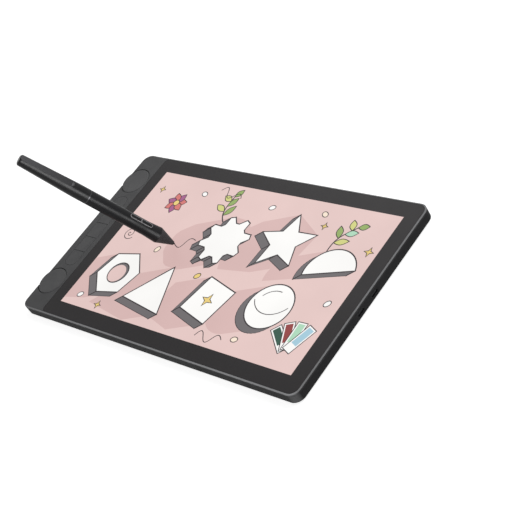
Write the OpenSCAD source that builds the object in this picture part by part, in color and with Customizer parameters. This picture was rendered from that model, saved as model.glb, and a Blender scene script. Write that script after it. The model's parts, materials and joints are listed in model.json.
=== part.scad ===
// Pen display: a drawing tablet with a built-in screen, press keys, two dials and its pen.
// Millimetres. X runs along the long side, Y towards the top edge, Z out of the screen.
// The origin lies on the desk under the middle of the casing.

/* [Screen] */
// Width of the lit picture area
screen_w = 293.8; // [260:0.1:320]
// Height of the lit picture area
screen_h = 165.2; // [150:0.1:190]
// Black border from the picture to the casing's top and bottom edges
border = 16.85; // [14.5:0.05:20]
// Black border from the picture to the casing's right edge
border_right = 16.3; // [14.5:0.1:20]
// Black border between the picture and the control strip
border_left = 14.3; // [11:0.1:18]
// Thickness of the cover glass
glass_t = 0.8; // [0.6:0.1:1.2]
// Gap between the cover glass and the frame beside it
glass_gap = 0.1; // [0.05:0.05:0.3]
// Radius of the glass's corners beside the control strip
glass_strip_r = 4.5; // [3:0.1:6]
// Thickness of the adhesive tape under the rim of the glass
tape_t = 0.15; // [0.1:0.05:0.3]

/* [Layers under the glass] */
// Thickness of the display panel
panel_t = 1.4; // [1:0.1:2]
// Rim of the display panel round the picture
panel_rim = 2.6; // [2:0.1:4]
// Thickness of each of the panel's two sheets
sheet_t = 0.7; // [0.4:0.1:0.8]
// Contact ledge along the panel's lower edge
panel_ledge = 6; // [5:0.1:7]
// Height of the backlight tray
tray_h = 2.6; // [2.2:0.1:3.4]
// Sheet thickness of the backlight tray
tray_wall = 0.3; // [0.2:0.05:0.4]
// Thickness of the light strip along the lower edge of the backlight
led_strip_t = 0.3; // [0.2:0.05:0.4]
// Spacing of the lamps on the light strip
led_pitch = 9; // [6:0.5:15]
// Thickness of the pen sensing board
sensor_t = 0.5; // [0.4:0.1:0.8]
// Rim of the pen sensing board round the picture
sensor_rim = 1.5; // [0.5:0.1:2]
// Thickness of the steel shield behind the pen sensing board
shield_t = 0.3; // [0.2:0.05:0.5]
// Room for the circuit boards between the rear floor and the shield
board_room = 3.6; // [3.2:0.1:5]

/* [Casing] */
// Radius of the casing's corners in plan
corner_r = 9; // [6:0.5:14]
// Thickness of the side walls
wall = 1.6; // [1.3:0.1:2]
// Thickness of the rear floor
floor_t = 1.5; // [1.3:0.1:2]
// Ledge of the front frame that carries the glass
ledge_t = 1.05; // [0.8:0.05:1.4]
// Width of the sloping edge round the back
rear_slope_w = 1.8; // [1:0.1:2.5]
// Height of the sloping edge round the back
rear_slope_h = 0.8; // [0.5:0.1:1.2]
// Width of the sloping rim round the front
rim_slope_w = 1.2; // [0.6:0.1:1.5]
// Drop of the sloping rim towards the side wall
rim_slope_h = 0.5; // [0.3:0.1:0.7]
// Depth of the fine groove between the frame and the rear cover
seam_groove = 0.25; // [0.1:0.05:0.4]
// Thickness of the ribs on the rear floor
rib_t = 1.2; // [0.8:0.1:2]
// Spacing of the ribs on the rear floor
rib_pitch = 40; // [30:1:50]

/* [Snap tabs] */
// Length of one snap tab along the wall
snap_l = 12; // [8:0.5:16]
// Thickness of a snap tab
snap_t = 1; // [0.8:0.1:1.3]
// Height of a snap tab
snap_h = 3; // [2.5:0.1:4]
// Reach of the snap hook into the wall
snap_hook = 0.5; // [0.3:0.1:0.7]
// Gap between a snap tab and the wall
snap_gap = 0.1; // [0.05:0.05:0.2]
// Spacing of the snap tabs along the top and bottom edges
snap_pitch = 80; // [60:1:90]
// Distance of the snap tabs on the right side from the middle
snap_right_y = 60; // [40:1:80]
// Distance of the snap tabs on the left side from the middle
snap_left_y = 20; // [10:1:35]

/* [Feet] */
// Length of a rubber foot
foot_l = 25; // [18:0.5:32]
// Width of a rubber foot
foot_w = 11; // [8:0.5:14]
// Height of the feet below the rear face
foot_h = 1; // [0.6:0.1:2]
// Depth of the pocket that holds a foot
foot_sink = 0.5; // [0.3:0.1:0.8]
// Gap round a foot in its pocket
foot_gap = 0.1; // [0.05:0.05:0.2]
// Chamfer round the sole of a foot
foot_chamfer = 0.3; // [0.1:0.05:0.5]
// Distance of a foot's middle from the casing's side
foot_in_x = 27.3; // [20:0.1:40]
// Distance of a foot's middle from the top or bottom edge
foot_in_y = 17.5; // [12:0.1:30]

/* [Control strip] */
// Width of the matt strip beside the glass
strip_w = 30.6; // [29:0.1:36]
// Distance of the key column's middle from the casing's left side
key_in = 16.4; // [15:0.1:18]
// Width of the key column
key_w = 16; // [15:0.5:18]
// Spacing of the press keys
key_pitch = 17.8; // [16:0.1:20]
// Gap between neighbouring keys
key_split = 0.3; // [0.2:0.05:0.5]
// Corner radius at both ends of the key column
key_end_r = 7; // [2:0.5:7]
// Height of the keys above the strip
key_proud = 0.2; // [0.1:0.05:0.6]
// Travel of a press key
key_travel = 0.5; // [0.3:0.05:0.7]
// Gap between the key column and its opening
key_gap = 0.25; // [0.2:0.05:0.4]
// Hollow of a key's top
key_dish = 0.15; // [0.1:0.05:0.3]
// Chamfer round a key's top
key_chamfer = 0.2; // [0.1:0.05:0.4]
// Width of the retaining flange beside a key
key_flange = 1; // [0.6:0.1:1.5]
// Thickness of the retaining flange
flange_t = 0.6; // [0.4:0.1:0.8]
// Height of a key switch
key_switch_h = 0.9; // [0.6:0.1:1.1]

/* [Dials] */
// Radius of a dial
dial_r = 15; // [12:0.1:15.5]
// Thickness of a dial
dial_t = 4; // [3.6:0.1:4.6]
// Reach of a dial past the left side
dial_reach = 1.7; // [1:0.1:3]
// Gap between a dial and its well
dial_gap = 0.6; // [0.4:0.05:1]
// Gap under a dial
dial_float = 0.4; // [0.3:0.05:0.6]
// Space between the key column and a dial
dial_space = 5.8; // [3:0.1:10]
// Number of grip ridges round a dial
dial_ridges = 60; // [24:1:90]
// Depth of the grip ridges
ridge_depth = 0.35; // [0.2:0.05:0.6]
// Height of the smooth cap above the ridges
dial_cap_h = 1; // [0.6:0.1:1.4]
// Hollow of a dial's top
dial_dish = 0.35; // [0.1:0.05:0.5]
// Setback of the casing lobe under a dial
lobe_setback = 0.5; // [0.2:0.1:1]
// Radius of a dial's spindle
spindle_r = 2.5; // [1.5:0.1:4]
// Running clearance of the spindle in its encoder
spindle_fit = 0.05; // [0.02:0.01:0.08]
// Radius of an encoder
encoder_r = 6.5; // [5.5:0.1:8]
// Height of an encoder
encoder_h = 1.3; // [1:0.1:1.5]

/* [Boards] */
// Thickness of the circuit boards
board_t = 1; // [0.8:0.1:1.2]
// Height of the posts under the main board
post_h = 0.5; // [0.3:0.1:0.7]
// Width of the main board
main_w = 60; // [50:1:80]
// Length of the main board
main_l = 116; // [100:1:130]
// Gap between the main board and the side wall
main_gap = 0.6; // [0.4:0.1:2]
// Distance of the main board from the bottom edge of the casing
main_in_y = 14.5; // [13:0.1:20]
// Height of the tallest chip
chip_h = 1.2; // [0.8:0.1:1.3]
// Height of the cable connectors
plug_h = 1.1; // [0.8:0.1:1.3]
// Thickness of the flat cables
cable_t = 0.2; // [0.1:0.05:0.3]
// Radius of a screw's shank
screw_r = 0.95; // [0.7:0.05:1.1]
// Radius of a screw's head
screw_head_r = 1.9; // [1.5:0.1:2.2]
// Height of a screw's head
screw_head_h = 0.9; // [0.6:0.1:1]
// Length of a screw under its head
screw_l = 2.2; // [1.8:0.1:2.4]
// Gap round a screw's shank
screw_gap = 0.05; // [0.02:0.01:0.1]

/* [Sockets] */
// Width of a USB socket's shell
port_w = 8.94; // [8.5:0.02:9.5]
// Height of a USB socket's shell
port_h = 3.2; // [3:0.02:3.4]
// Depth of a USB socket
port_l = 7.4; // [6.5:0.1:9]
// Sheet thickness of the shell
port_wall = 0.32; // [0.2:0.02:0.4]
// Gap between the shell and the casing
port_gap = 0.15; // [0.1:0.05:0.3]
// Setback of the socket's mouth in the side wall
port_setback = 0.3; // [0.1:0.1:0.8]
// Distance between the two sockets
port_pitch = 20; // [14:0.5:30]
// Width of the contact tongue
tongue_w = 6.7; // [6:0.1:7]
// Thickness of the contact tongue
tongue_t = 0.7; // [0.5:0.05:0.8]

/* [Power button] */
// Distance of the power button from the right side
power_in_x = 46.8; // [40:0.1:60]
// Length of the power button
power_l = 11; // [8:0.5:14]
// Height of the power button
power_h = 2.2; // [1.8:0.1:2.8]
// Height of the button above the wall
power_proud = 0.5; // [0.3:0.1:1]
// Travel of the power button
power_travel = 0.4; // [0.2:0.05:0.6]
// Gap between the button and its slot
power_gap = 0.2; // [0.15:0.05:0.3]

/* [Pen] */
// Length of the pen with its nib
pen_l = 158; // [148:0.5:168]
// Radius of the pen at the buttons
pen_r = 6.6; // [6.4:0.05:7.2]
// Radius of the pen at the front end of the grip
pen_front_r = 7.4; // [6.8:0.05:7.6]
// Radius of the pen at its seam
pen_seam_r = 6.7; // [6.2:0.05:7]
// Radius of the pen at its tail
pen_tail_r = 5.2; // [4.8:0.05:6]
// Bore of the pen's grip
pen_bore_r = 5; // [4.8:0.05:5.2]
// Bore of the pen's rear barrel
pen_rear_bore_r = 2.6; // [2:0.1:3]
// Sliding gap between pieces inside the pen
pen_fit = 0.1; // [0.05:0.01:0.15]
// Length of the nose with the nib
nose_l = 18; // [17:0.5:19]
// Setback of the nose behind the nib's tip
nose_from = 1.8; // [1.4:0.1:2.4]
// Distance from the nib's tip at which the grip's flare ends
flare_to = 31; // [28:0.5:36]
// Distance of the seam from the nib's tip
seam_at = 90.3; // [86:0.1:97]
// Width of the seam ring
seam_ring = 0.8; // [0.5:0.1:1.5]
// Distance of the front button's front end from the nib's tip
buttons_at = 27.5; // [27:0.1:32]
// Length of the two side buttons together
buttons_l = 22.5; // [18:0.5:26]
// Width of the side buttons
buttons_w = 4; // [3.4:0.1:4.4]
// Height of the side buttons above the barrel
buttons_proud = 0.55; // [0.3:0.05:1]
// Gap between the two side buttons, and round them
buttons_gap = 0.25; // [0.2:0.05:0.4]
// Travel of a side button
buttons_travel = 0.5; // [0.3:0.05:0.55]
// Distance from the nib's tip at which the rear barrel starts to taper
taper_at = 103; // [100:0.5:105]
// Distance of the flat's front end from the nib's tip
flat_at = 107; // [106:0.5:115]
// Distance of the flat from the pen's axis at its front end
flat_front = 5.55; // [5.2:0.05:5.8]
// Distance of the flat from the pen's axis at the tail
flat_tail = 4.5; // [4:0.05:4.7]
// Width of the flat's round front end
flat_w = 9; // [8.5:0.1:12]
// Radius of the nib
nib_r = 0.95; // [0.7:0.05:1.1]
// Radius of the nib's tip
nib_tip_r = 0.6; // [0.4:0.05:0.7]
// Length of the nib
nib_l = 26; // [25:0.1:26.3]
// Travel of the nib
nib_travel = 1; // [0.5:0.1:1.2]
// Gap round the nib
nib_fit = 0.15; // [0.1:0.01:0.2]
// Gap between the nib and the glass
nib_gap = 0.25; // [0.2:0.05:0.5]
// Place of the nib on the picture, right of its middle
pen_spot_x = -66; // [-100:0.5:100]
// Place of the nib on the picture, above its middle
pen_spot_y = 5.4; // [-60:0.1:60]
// Lean of the pen from upright
pen_lean = 28.7; // [0:0.1:45]
// Compass direction in which the pen leans
pen_heading = -147.5; // [-180:0.5:180]
// Turn of the pen about its own axis
pen_roll = 172; // [-180:1:180]

/* [Hidden] */
$fn = 64;

// A cut reaches this far past the face that it opens
cut = 1;
// Rest gap between pieces that come close and don't touch
play = 0.15;

// The casing takes its size from the screen and the layers behind the glass
body_w = strip_w + border_left + screen_w + border_right;
body_d = screen_h + 2 * border;
body_t = floor_t + board_room + shield_t + sensor_t + tray_h + panel_t + glass_t;
x_left = -body_w / 2;
x_right = body_w / 2;
y_top = body_d / 2;
x_screen = x_right - border_right - screen_w / 2;
x_glass = x_left + strip_w;

// Heights above the desk
z_rear = foot_h;
z_floor = z_rear + floor_t;
z_front = z_rear + body_t;
z_glass = z_front - glass_t;
z_ledge = z_glass - tape_t;
z_split = z_ledge - ledge_t;
z_panel = z_glass - panel_t;
z_tray = z_panel - tray_h;
z_sensor = z_tray - sensor_t;
z_shield = z_sensor - shield_t;
z_main = z_floor + post_h;
z_main_top = z_main + board_t;
z_port = z_main_top + port_h / 2;
z_key_board = z_front - dial_t - dial_float - board_t;
z_key_board_top = z_key_board + board_t;

// Control strip
key_count = 5;
key_l = key_pitch - key_split;
key_column = (key_count * key_pitch - key_split) / 2;
key_x = x_left + key_in;
dial_x = x_left - dial_reach + dial_r;
dial_y = key_column + dial_space + dial_r;
well_r = dial_r + dial_gap;
lobe_r = dial_r - lobe_setback;
key_dish_r = (pow(key_l / 2, 2) + pow(key_dish, 2)) / (2 * key_dish);
dial_rim = 2;
dial_dish_r = (pow(dial_r - dial_rim, 2) + pow(dial_dish, 2)) / (2 * dial_dish);
dial_chamfer = 0.4;
hub_gap = 0.5;
key_stem_r = 1.5;
key_switch_base = 5;
key_board_in = 2;

// Backlight and panel
tray_w = screen_w + 2 * panel_rim;
tray_h_plan = screen_h + 2 * panel_rim;
window_gap = 0.5;
cable_bend = 2.9;
window_low = screen_h / 2 + panel_ledge + cable_bend + window_gap;
led_size = [3, 0.7, 1.2];
led_margin = 6;

// Boards
main_x = x_right - wall - main_gap - main_w;
main_y = -y_top + main_in_y;
main_post_in = 4;
post_r = 2.2;
power_x = x_right - power_in_x;
power_board_w = 26;
power_board_l = 9;
power_room = 3.4;
power_board_y = y_top - wall - power_room - power_board_l;
power_post_x = 9.5;
power_post_y = 4.5;
power_switch_size = [6, 4, 2.4];
power_plunger = [2.4, 0.8, 1.2];
power_z = z_main_top + power_switch_size[2] / 2;
power_flange = 1;
power_flange_t = 0.8;
plug_d = 4;
// Each chip: distance from the board's left and lower edges, and its size in plan
chips = [[18, 58, 14, 14], [18, 38, 10, 9], [38, 62, 6, 6], [12, 82, 8, 6], [40, 88, 5, 5], [30, 96, 9, 4],
         [12, 20, 6, 8], [48, 18, 5, 5]];
display_cable_w = 38;
display_cable_x = main_x + main_w / 2;
sensing_cable_w = 20;
sensing_plug_in = [20, 39];
sensing_plug_x = main_x + main_w - sensing_plug_in[0];
sensing_cable_y = main_y + sensing_plug_in[1];
key_cable_w = 10;
power_cable_w = 4;
power_cable_in = 8;
power_cable_x = power_x - power_cable_in;
cable_lift = 0.4;
cable_lap = 2;
plug_in = 1;
plug_side = 1;

// Pen, along its own axis from the tip of the nib
nose_neck_l = 3.7;
nose_neck_r = pen_bore_r - pen_fit;
ferrite_r = 2.6;
ferrite_in = 5.7;
ferrite_l = 9.5;
ferrite_from = nose_l - ferrite_in;
ferrite_to = ferrite_from + ferrite_l;
coil_r = 3.1;
nose_chamber_r = coil_r + pen_fit;
pressure_neck_l = 0.5;
pressure_l = 6.5;
pressure_from = ferrite_to + pressure_neck_l;
pressure_to = pressure_from + pressure_l;
carrier_from = pressure_to;
carrier_gap = 1;
rear_neck_l = 8;
carrier_to = seam_at - rear_neck_l - carrier_gap;
pen_board_x = 0.8;
pen_switch_h = 1.3;
pen_switch_size = [3, 4];
pen_flange_x = pen_board_x + board_t + pen_switch_h + buttons_travel + play;
pressure_r = pen_flange_x - buttons_travel - play;
pen_flange_t = 0.5;
pen_flange_w = buttons_w + 1;
cap_l = 1.5;
cap_plug_l = 5;
flat_slope = atan((flat_front - flat_tail) / (pen_l - flat_at));

// Plain shapes

module slab(low, high) {
    translate([0, 0, low]) linear_extrude(high - low) children();
}

module block(low, high) {
    translate(low) cube(high - low);
}

module plan(w, d, r) {
    square([w - 2 * r, d], center = true);
    square([w, d - 2 * r], center = true);
    for (x = [-1, 1], y = [-1, 1])
        translate([x * (w / 2 - r), y * (d / 2 - r)]) circle(r);
}

module pill(l, w) {
    square([l - w, w], center = true);
    for (side = [-1, 1])
        translate([side * (l - w) / 2, 0]) circle(d = w);
}

// Stands a flat outline up: its X lies along Y, its Y along Z, and it is drawn out along X
module upright_x(length) {
    rotate([90, 0, 90]) linear_extrude(length) children();
}

// Stands a flat outline up: its X lies along X, its Y along Z, and it is drawn out along Y
module upright_y(length) {
    translate([0, length, 0]) rotate([90, 0, 0]) linear_extrude(length) children();
}

// Carries a profile round a rounded outline: X of the profile runs inwards, Y upwards
module edge_sweep(w, d, r) {
    for (turn = [0, 180]) {
        rotate(turn) translate([-w / 2 + r, -d / 2, 0]) upright_x(w - 2 * r) children();
        rotate(turn + 90) translate([-d / 2 + r, -w / 2, 0]) upright_x(d - 2 * r) children();
    }
    for (x = [-1, 1], y = [-1, 1])
        translate([x * (w / 2 - r), y * (d / 2 - r), 0])
            rotate(x > 0 ? (y > 0 ? 0 : 270) : (y > 0 ? 90 : 180))
                rotate_extrude(angle = 90) translate([r, 0]) mirror([1, 0]) children();
}

// Cutters for a sloping edge, seen from the outline inwards
module slope_below(width, height) {
    polygon([[-width, -height], [2 * width, -height], [-width, 2 * height]]);
}

module slope_above(width, height) {
    mirror([0, 1]) slope_below(width, height);
}

// Places that repeat

module dial_places() {
    for (side = [-1, 1]) translate([dial_x, side * dial_y, 0]) children();
}

module key_places() {
    for (i = [0 : key_count - 1]) key_place(i) children();
}

module key_place(i) {
    translate([key_x, key_y(i), 0]) children();
}

function key_y(i) = ((key_count - 1) / 2 - i) * key_pitch;

module foot_places() {
    for (x = [-1, 1], y = [-1, 1])
        translate([x * (x_right - foot_in_x), y * (y_top - foot_in_y), 0]) children();
}

// Each snap place has the inner face of its wall at Y = 0 and the outside at +Y
module snap_places() {
    for (side = [-1, 1]) {
        for (n = [-1.5, -0.5, 0.5])
            translate([n * snap_pitch, side * (y_top - wall), 0]) rotate(side > 0 ? 0 : 180) children();
        translate([x_right - wall, side * snap_right_y, 0]) rotate(-90) children();
        translate([x_left + wall, side * snap_left_y, 0]) rotate(90) children();
    }
}

module main_post_places() {
    for (x = [main_post_in, main_w - main_post_in], y = [main_post_in, main_l - main_post_in])
        translate([main_x + x, main_y + y, 0]) children();
}

module power_post_places() {
    for (side = [-1, 1])
        translate([power_x + side * power_post_x, power_board_y + power_post_y, 0]) children();
}

module key_post_places() {
    for (n = [-1.5, -0.5, 0.5, 1.5]) translate([key_x, n * key_pitch, 0]) children();
}

module port_places() {
    for (side = [-1, 1]) port_place(side) children();
}

module port_place(side) {
    translate([x_right - port_setback - port_l, side * port_pitch / 2, z_port]) children();
}

// Casing

module post(top) {
    translate([0, 0, z_floor]) cylinder(r = post_r, h = top - z_floor);
}

module board_hole(low) {
    translate([0, 0, low - cut]) cylinder(r = screw_r + screw_gap, h = board_t + 2 * cut);
}

module screw_hole(top) {
    translate([0, 0, top - screw_l - play]) cylinder(r = screw_r + screw_gap, h = screw_l + play + cut);
}

module rear_shell() {
    difference() {
        slab(z_rear, z_split) plan(body_w, body_d, corner_r);
        translate([0, 0, z_rear])
            edge_sweep(body_w, body_d, corner_r) slope_below(rear_slope_w, rear_slope_h);
        translate([0, 0, z_split])
            edge_sweep(body_w, body_d, corner_r) slope_above(seam_groove, seam_groove);
    }
    dial_places() {
        translate([0, 0, z_rear]) cylinder(r1 = lobe_r - rear_slope_w, r2 = lobe_r, h = rear_slope_h);
        slab(z_rear + rear_slope_h, z_key_board_top) circle(lobe_r);
    }
}

module snap_pocket() {
    block([-snap_l / 2 - play, -cut, z_split - snap_h - play],
          [snap_l / 2 + play, snap_hook + play, z_split - snap_h / 2]);
}

module floor_ribs() {
    for (n = [-1.5, -0.5, 0.5, 1.5])
        block([x_screen - screen_w / 2, n * rib_pitch - rib_t / 2, z_floor],
              [main_x - 2 * plug_d, n * rib_pitch + rib_t / 2, z_shield]);
}

module rear_cover() color([0.24, 0.24, 0.25]) {
    difference() {
        union() {
            difference() {
                rear_shell();
                slab(z_floor, z_split + cut) plan(body_w - 2 * wall, body_d - 2 * wall, corner_r - wall);
                dial_places() slab(z_key_board_top, z_split + cut) circle(well_r);
                port_places() upright_x(port_l + cut) pill(port_w + 2 * port_gap, port_h + 2 * port_gap);
                translate([power_x, y_top - wall - cut, power_z])
                    upright_y(wall + 2 * cut) pill(power_l + 2 * power_gap, power_h + 2 * power_gap);
                foot_places() slab(z_rear - cut, z_rear + foot_sink)
                    pill(foot_l + 2 * foot_gap, foot_w + 2 * foot_gap);
                snap_places() snap_pocket();
            }
            floor_ribs();
            main_post_places() post(z_main);
            power_post_places() post(z_main);
            key_post_places() post(z_key_board);
            dial_places() post(z_key_board);
        }
        main_post_places() screw_hole(z_main_top);
        power_post_places() screw_hole(z_main_top);
        key_post_places() screw_hole(z_key_board_top);
    }
}

// Outline of the glass, which fills the front to the right of the control strip
module glass_plan(gap) {
    inset = wall + gap;
    intersection() {
        plan(body_w - 2 * inset, body_d - 2 * inset, corner_r - inset);
        translate([x_glass + gap + body_w / 2, 0])
            plan(body_w, body_d - 2 * inset, glass_strip_r - gap);
    }
}

// Opening behind the glass, with room below for the panel's cable
module window_plan() {
    side = screen_w / 2 + panel_rim + window_gap;
    translate([x_screen - side, -window_low])
        square([2 * side, window_low + screen_h / 2 + panel_rim + window_gap]);
}

module snap_tab() {
    low = z_split - snap_h;
    high = z_split - snap_h / 2;
    block([-snap_l / 2, -snap_gap - snap_t, low], [snap_l / 2, -snap_gap, z_split]);
    translate([-snap_l / 2, 0, 0]) upright_x(snap_l)
        polygon([[-snap_gap, low], [snap_hook, (low + high) / 2], [-snap_gap, high]]);
}

module front_frame() color([0.27, 0.27, 0.28]) {
    difference() {
        slab(z_split, z_front) plan(body_w, body_d, corner_r);
        translate([0, 0, z_front])
            edge_sweep(body_w, body_d, corner_r) slope_above(rim_slope_w, rim_slope_h);
        slab(z_ledge, z_front + cut) glass_plan(0);
        slab(z_split - cut, z_front) window_plan();
        dial_places() slab(z_split - cut, z_front + cut) circle(well_r);
        slab(z_split - cut, z_front + cut) key_column_plan(key_gap);
    }
    snap_places() snap_tab();
}

// Outline of the five keys together
module key_column_plan(gap) {
    translate([key_x, 0]) plan(key_w + 2 * gap, 2 * (key_column + gap), key_end_r + gap);
}

module feet() color([0.2, 0.2, 0.2]) {
    r = foot_w / 2;
    sole_r = r - foot_chamfer;
    straight = foot_l - foot_w;
    foot_places() {
        slab(foot_chamfer, foot_h + foot_sink) pill(foot_l, foot_w);
        for (side = [-1, 1])
            translate([side * straight / 2, 0, 0]) cylinder(r1 = sole_r, r2 = r, h = foot_chamfer);
        translate([-straight / 2, 0, 0]) upright_x(straight)
            polygon([[-sole_r, 0], [sole_r, 0], [r, foot_chamfer], [-r, foot_chamfer]]);
    }
}

// Glass and the layers behind it

module cover_glass() color([0.09, 0.09, 0.1]) {
    slab(z_glass, z_front) glass_plan(glass_gap);
}

module glass_tape() color([0.05, 0.05, 0.05]) {
    slab(z_ledge, z_glass) difference() {
        glass_plan(glass_gap);
        window_plan();
    }
}

module display_panel() color([0.9, 0.78, 0.76]) {
    translate([x_screen, 0, 0]) {
        block([-tray_w / 2, -tray_h_plan / 2, z_panel + sheet_t], [tray_w / 2, tray_h_plan / 2, z_glass]);
        block([-tray_w / 2, -screen_h / 2 - panel_ledge, z_panel],
              [tray_w / 2, tray_h_plan / 2, z_panel + sheet_t]);
    }
}

module backlight_tray() color([0.8, 0.8, 0.82]) {
    translate([x_screen, 0, 0]) difference() {
        block([-tray_w / 2, -tray_h_plan / 2, z_tray], [tray_w / 2, tray_h_plan / 2, z_panel]);
        block([-tray_w / 2 + tray_wall, -tray_h_plan / 2 + tray_wall, z_tray + tray_wall],
              [tray_w / 2 - tray_wall, tray_h_plan / 2 - tray_wall, z_panel + cut]);
    }
}

module light_guide() color([0.97, 0.97, 0.95]) {
    low = -tray_h_plan / 2 + tray_wall + led_strip_t + led_size[1];
    translate([x_screen, 0, 0])
        block([-tray_w / 2 + tray_wall, low, z_tray + tray_wall],
              [tray_w / 2 - tray_wall, tray_h_plan / 2 - tray_wall, z_panel]);
}

module light_strip() color([0.95, 0.9, 0.6]) {
    low = -tray_h_plan / 2 + tray_wall;
    reach = tray_w / 2 - led_margin;
    count = floor((2 * reach - led_size[0]) / led_pitch);
    translate([x_screen, low, z_tray + tray_wall]) {
        block([-reach, 0, 0], [reach, led_strip_t, led_size[2] + led_strip_t]);
        for (i = [-count / 2 : count / 2])
            translate([i * led_pitch - led_size[0] / 2, led_strip_t, 0]) cube(led_size);
    }
}

module pen_sensing_board() color([0.1, 0.32, 0.2]) {
    notch = 3;
    reach = [screen_w / 2 + sensor_rim, screen_h / 2 + sensor_rim];
    translate([x_screen, 0, 0]) difference() {
        block([-reach[0], -reach[1], z_sensor], [reach[0], reach[1], z_tray]);
        for (x = [-1, 1], y = [-1, 1])
            translate([x * reach[0], y * reach[1], z_sensor - cut])
                cylinder(r = notch, h = sensor_t + 2 * cut);
    }
}

module shield_plate() color([0.72, 0.73, 0.75]) {
    vent = [18, 4];
    vent_pitch = 12;
    translate([x_screen, 0, 0]) difference() {
        block([-screen_w / 2, -screen_h / 2, z_shield], [screen_w / 2, screen_h / 2, z_sensor]);
        for (n = [-2 : 2])
            translate([screen_w / 2 - vent[0] * 2, n * vent_pitch, z_shield - cut])
                linear_extrude(shield_t + 2 * cut) pill(vent[0], vent[1]);
    }
}

// Boards, sockets and cables

module main_board() color([0.08, 0.3, 0.18]) {
    difference() {
        block([main_x, main_y, z_main], [main_x + main_w, main_y + main_l, z_main_top]);
        main_post_places() board_hole(z_main);
    }
}

module board_chips() color([0.12, 0.12, 0.13]) {
    for (chip = chips)
        translate([main_x + chip[0], main_y + chip[1], z_main_top]) cube([chip[2], chip[3], chip_h]);
}

module board_connectors() color([0.86, 0.84, 0.78]) {
    in = plug_in + plug_d / 2;
    translate([display_cable_x, main_y + in, z_main_top]) plug(display_cable_w + 2 * plug_side, plug_d);
    translate([sensing_plug_x, sensing_cable_y, z_main_top]) plug(plug_d, sensing_cable_w + 2 * plug_side);
    translate([main_x + in, 0, z_main_top]) plug(plug_d, key_cable_w + 2 * plug_side);
}

module plug(w, d) {
    translate([-w / 2, -d / 2, 0]) cube([w, d, plug_h]);
}

module usb_port(side) {
    back_t = 1;
    tongue_setback = 0.6;
    port_place(side) {
        difference() {
            upright_x(port_l) pill(port_w, port_h);
            translate([back_t, 0, 0]) upright_x(port_l)
                pill(port_w - 2 * port_wall, port_h - 2 * port_wall);
        }
        upright_x(port_l - tongue_setback) square([tongue_w, tongue_t], center = true);
    }
}

module usb_port_upper() color([0.75, 0.75, 0.76]) usb_port(1);

module usb_port_lower() color([0.75, 0.75, 0.76]) usb_port(-1);

module key_board() color([0.08, 0.3, 0.18]) {
    left = x_left + wall + key_board_in;
    right = x_glass - key_board_in;
    reach = dial_y + encoder_r + key_board_in;
    difference() {
        block([left, -reach, z_key_board], [right, reach, z_key_board_top]);
        key_post_places() board_hole(z_key_board);
    }
}

module key_switches() color([0.7, 0.7, 0.68]) {
    base_top = z_key_board_top + key_switch_h / 2;
    key_places() {
        slab(z_key_board_top, base_top) square(key_switch_base, center = true);
        slab(base_top, z_key_board_top + key_switch_h) circle(key_stem_r);
    }
}

module power_board() color([0.08, 0.3, 0.18]) {
    difference() {
        block([power_x - power_board_w / 2, power_board_y, z_main],
              [power_x + power_board_w / 2, power_board_y + power_board_l, z_main_top]);
        power_post_places() board_hole(z_main);
    }
}

module power_switch() color([0.7, 0.7, 0.68]) {
    size = power_switch_size;
    translate([power_x, power_board_y + power_board_l, z_main_top]) {
        translate([-size[0] / 2, -size[1], 0]) cube(size);
        translate([-power_plunger[0] / 2, 0, (size[2] - power_plunger[2]) / 2]) cube(power_plunger);
    }
}

module screw(top) {
    translate([0, 0, top - screw_l]) cylinder(r = screw_r, h = screw_l);
    translate([0, 0, top]) cylinder(r = screw_head_r, h = screw_head_h);
}

module board_screws() color([0.6, 0.6, 0.62]) {
    main_post_places() screw(z_main_top);
    power_post_places() screw(z_main_top);
    key_post_places() screw(z_key_board_top);
}

// From the panel's lower ledge, round its edge and down to the main board
module display_cable() color([0.75, 0.5, 0.2]) {
    y_ledge = -screen_h / 2 - panel_ledge;
    y_bend = y_ledge - cable_bend + cable_t;
    y_start = y_ledge + cable_lap;
    y_plug = main_y + plug_in;
    z_high = z_panel + sheet_t;
    z_low = z_main_top + cable_lift;
    translate([display_cable_x - display_cable_w / 2, 0, 0]) upright_x(display_cable_w)
        polygon([
            [y_start, z_high + cable_t], [y_bend, z_high + cable_t], [y_bend, z_low], [y_plug, z_low],
            [y_plug, z_low + cable_t], [y_bend + cable_t, z_low + cable_t], [y_bend + cable_t, z_high],
            [y_start, z_high]
        ]);
}

// From the right edge of the pen sensing board down to the main board
module sensing_cable() color([0.75, 0.5, 0.2]) {
    x_edge = x_screen + screen_w / 2 + sensor_rim;
    x_bend = x_edge + cable_bend;
    x_plug = sensing_plug_x + plug_d / 2;
    z_high = z_sensor + cable_t / 2;
    z_low = z_main_top + cable_lift;
    translate([0, sensing_cable_y - sensing_cable_w / 2, 0]) upright_y(sensing_cable_w)
        polygon([
            [x_edge, z_high + cable_t], [x_bend, z_high + cable_t], [x_bend, z_low], [x_plug, z_low],
            [x_plug, z_low + cable_t], [x_bend - cable_t, z_low + cable_t], [x_bend - cable_t, z_high],
            [x_edge, z_high]
        ]);
}

// From under the key board, along the rear floor and up to the main board
module key_cable() color([0.75, 0.5, 0.2]) {
    x_start = x_glass - 3 * key_board_in;
    x_drop = x_glass;
    x_rise = main_x - plug_d;
    x_plug = main_x + plug_in;
    z_low = z_floor;
    z_high = z_main_top + cable_lift;
    translate([0, -key_cable_w / 2, 0]) upright_y(key_cable_w)
        polygon([
            [x_start, z_key_board], [x_drop, z_key_board], [x_drop, z_low + cable_t],
            [x_rise, z_low + cable_t], [x_rise, z_high + cable_t], [x_plug, z_high + cable_t],
            [x_plug, z_high], [x_rise + cable_t, z_high], [x_rise + cable_t, z_low],
            [x_drop - cable_t, z_low], [x_drop - cable_t, z_key_board - cable_t],
            [x_start, z_key_board - cable_t]
        ]);
}

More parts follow.
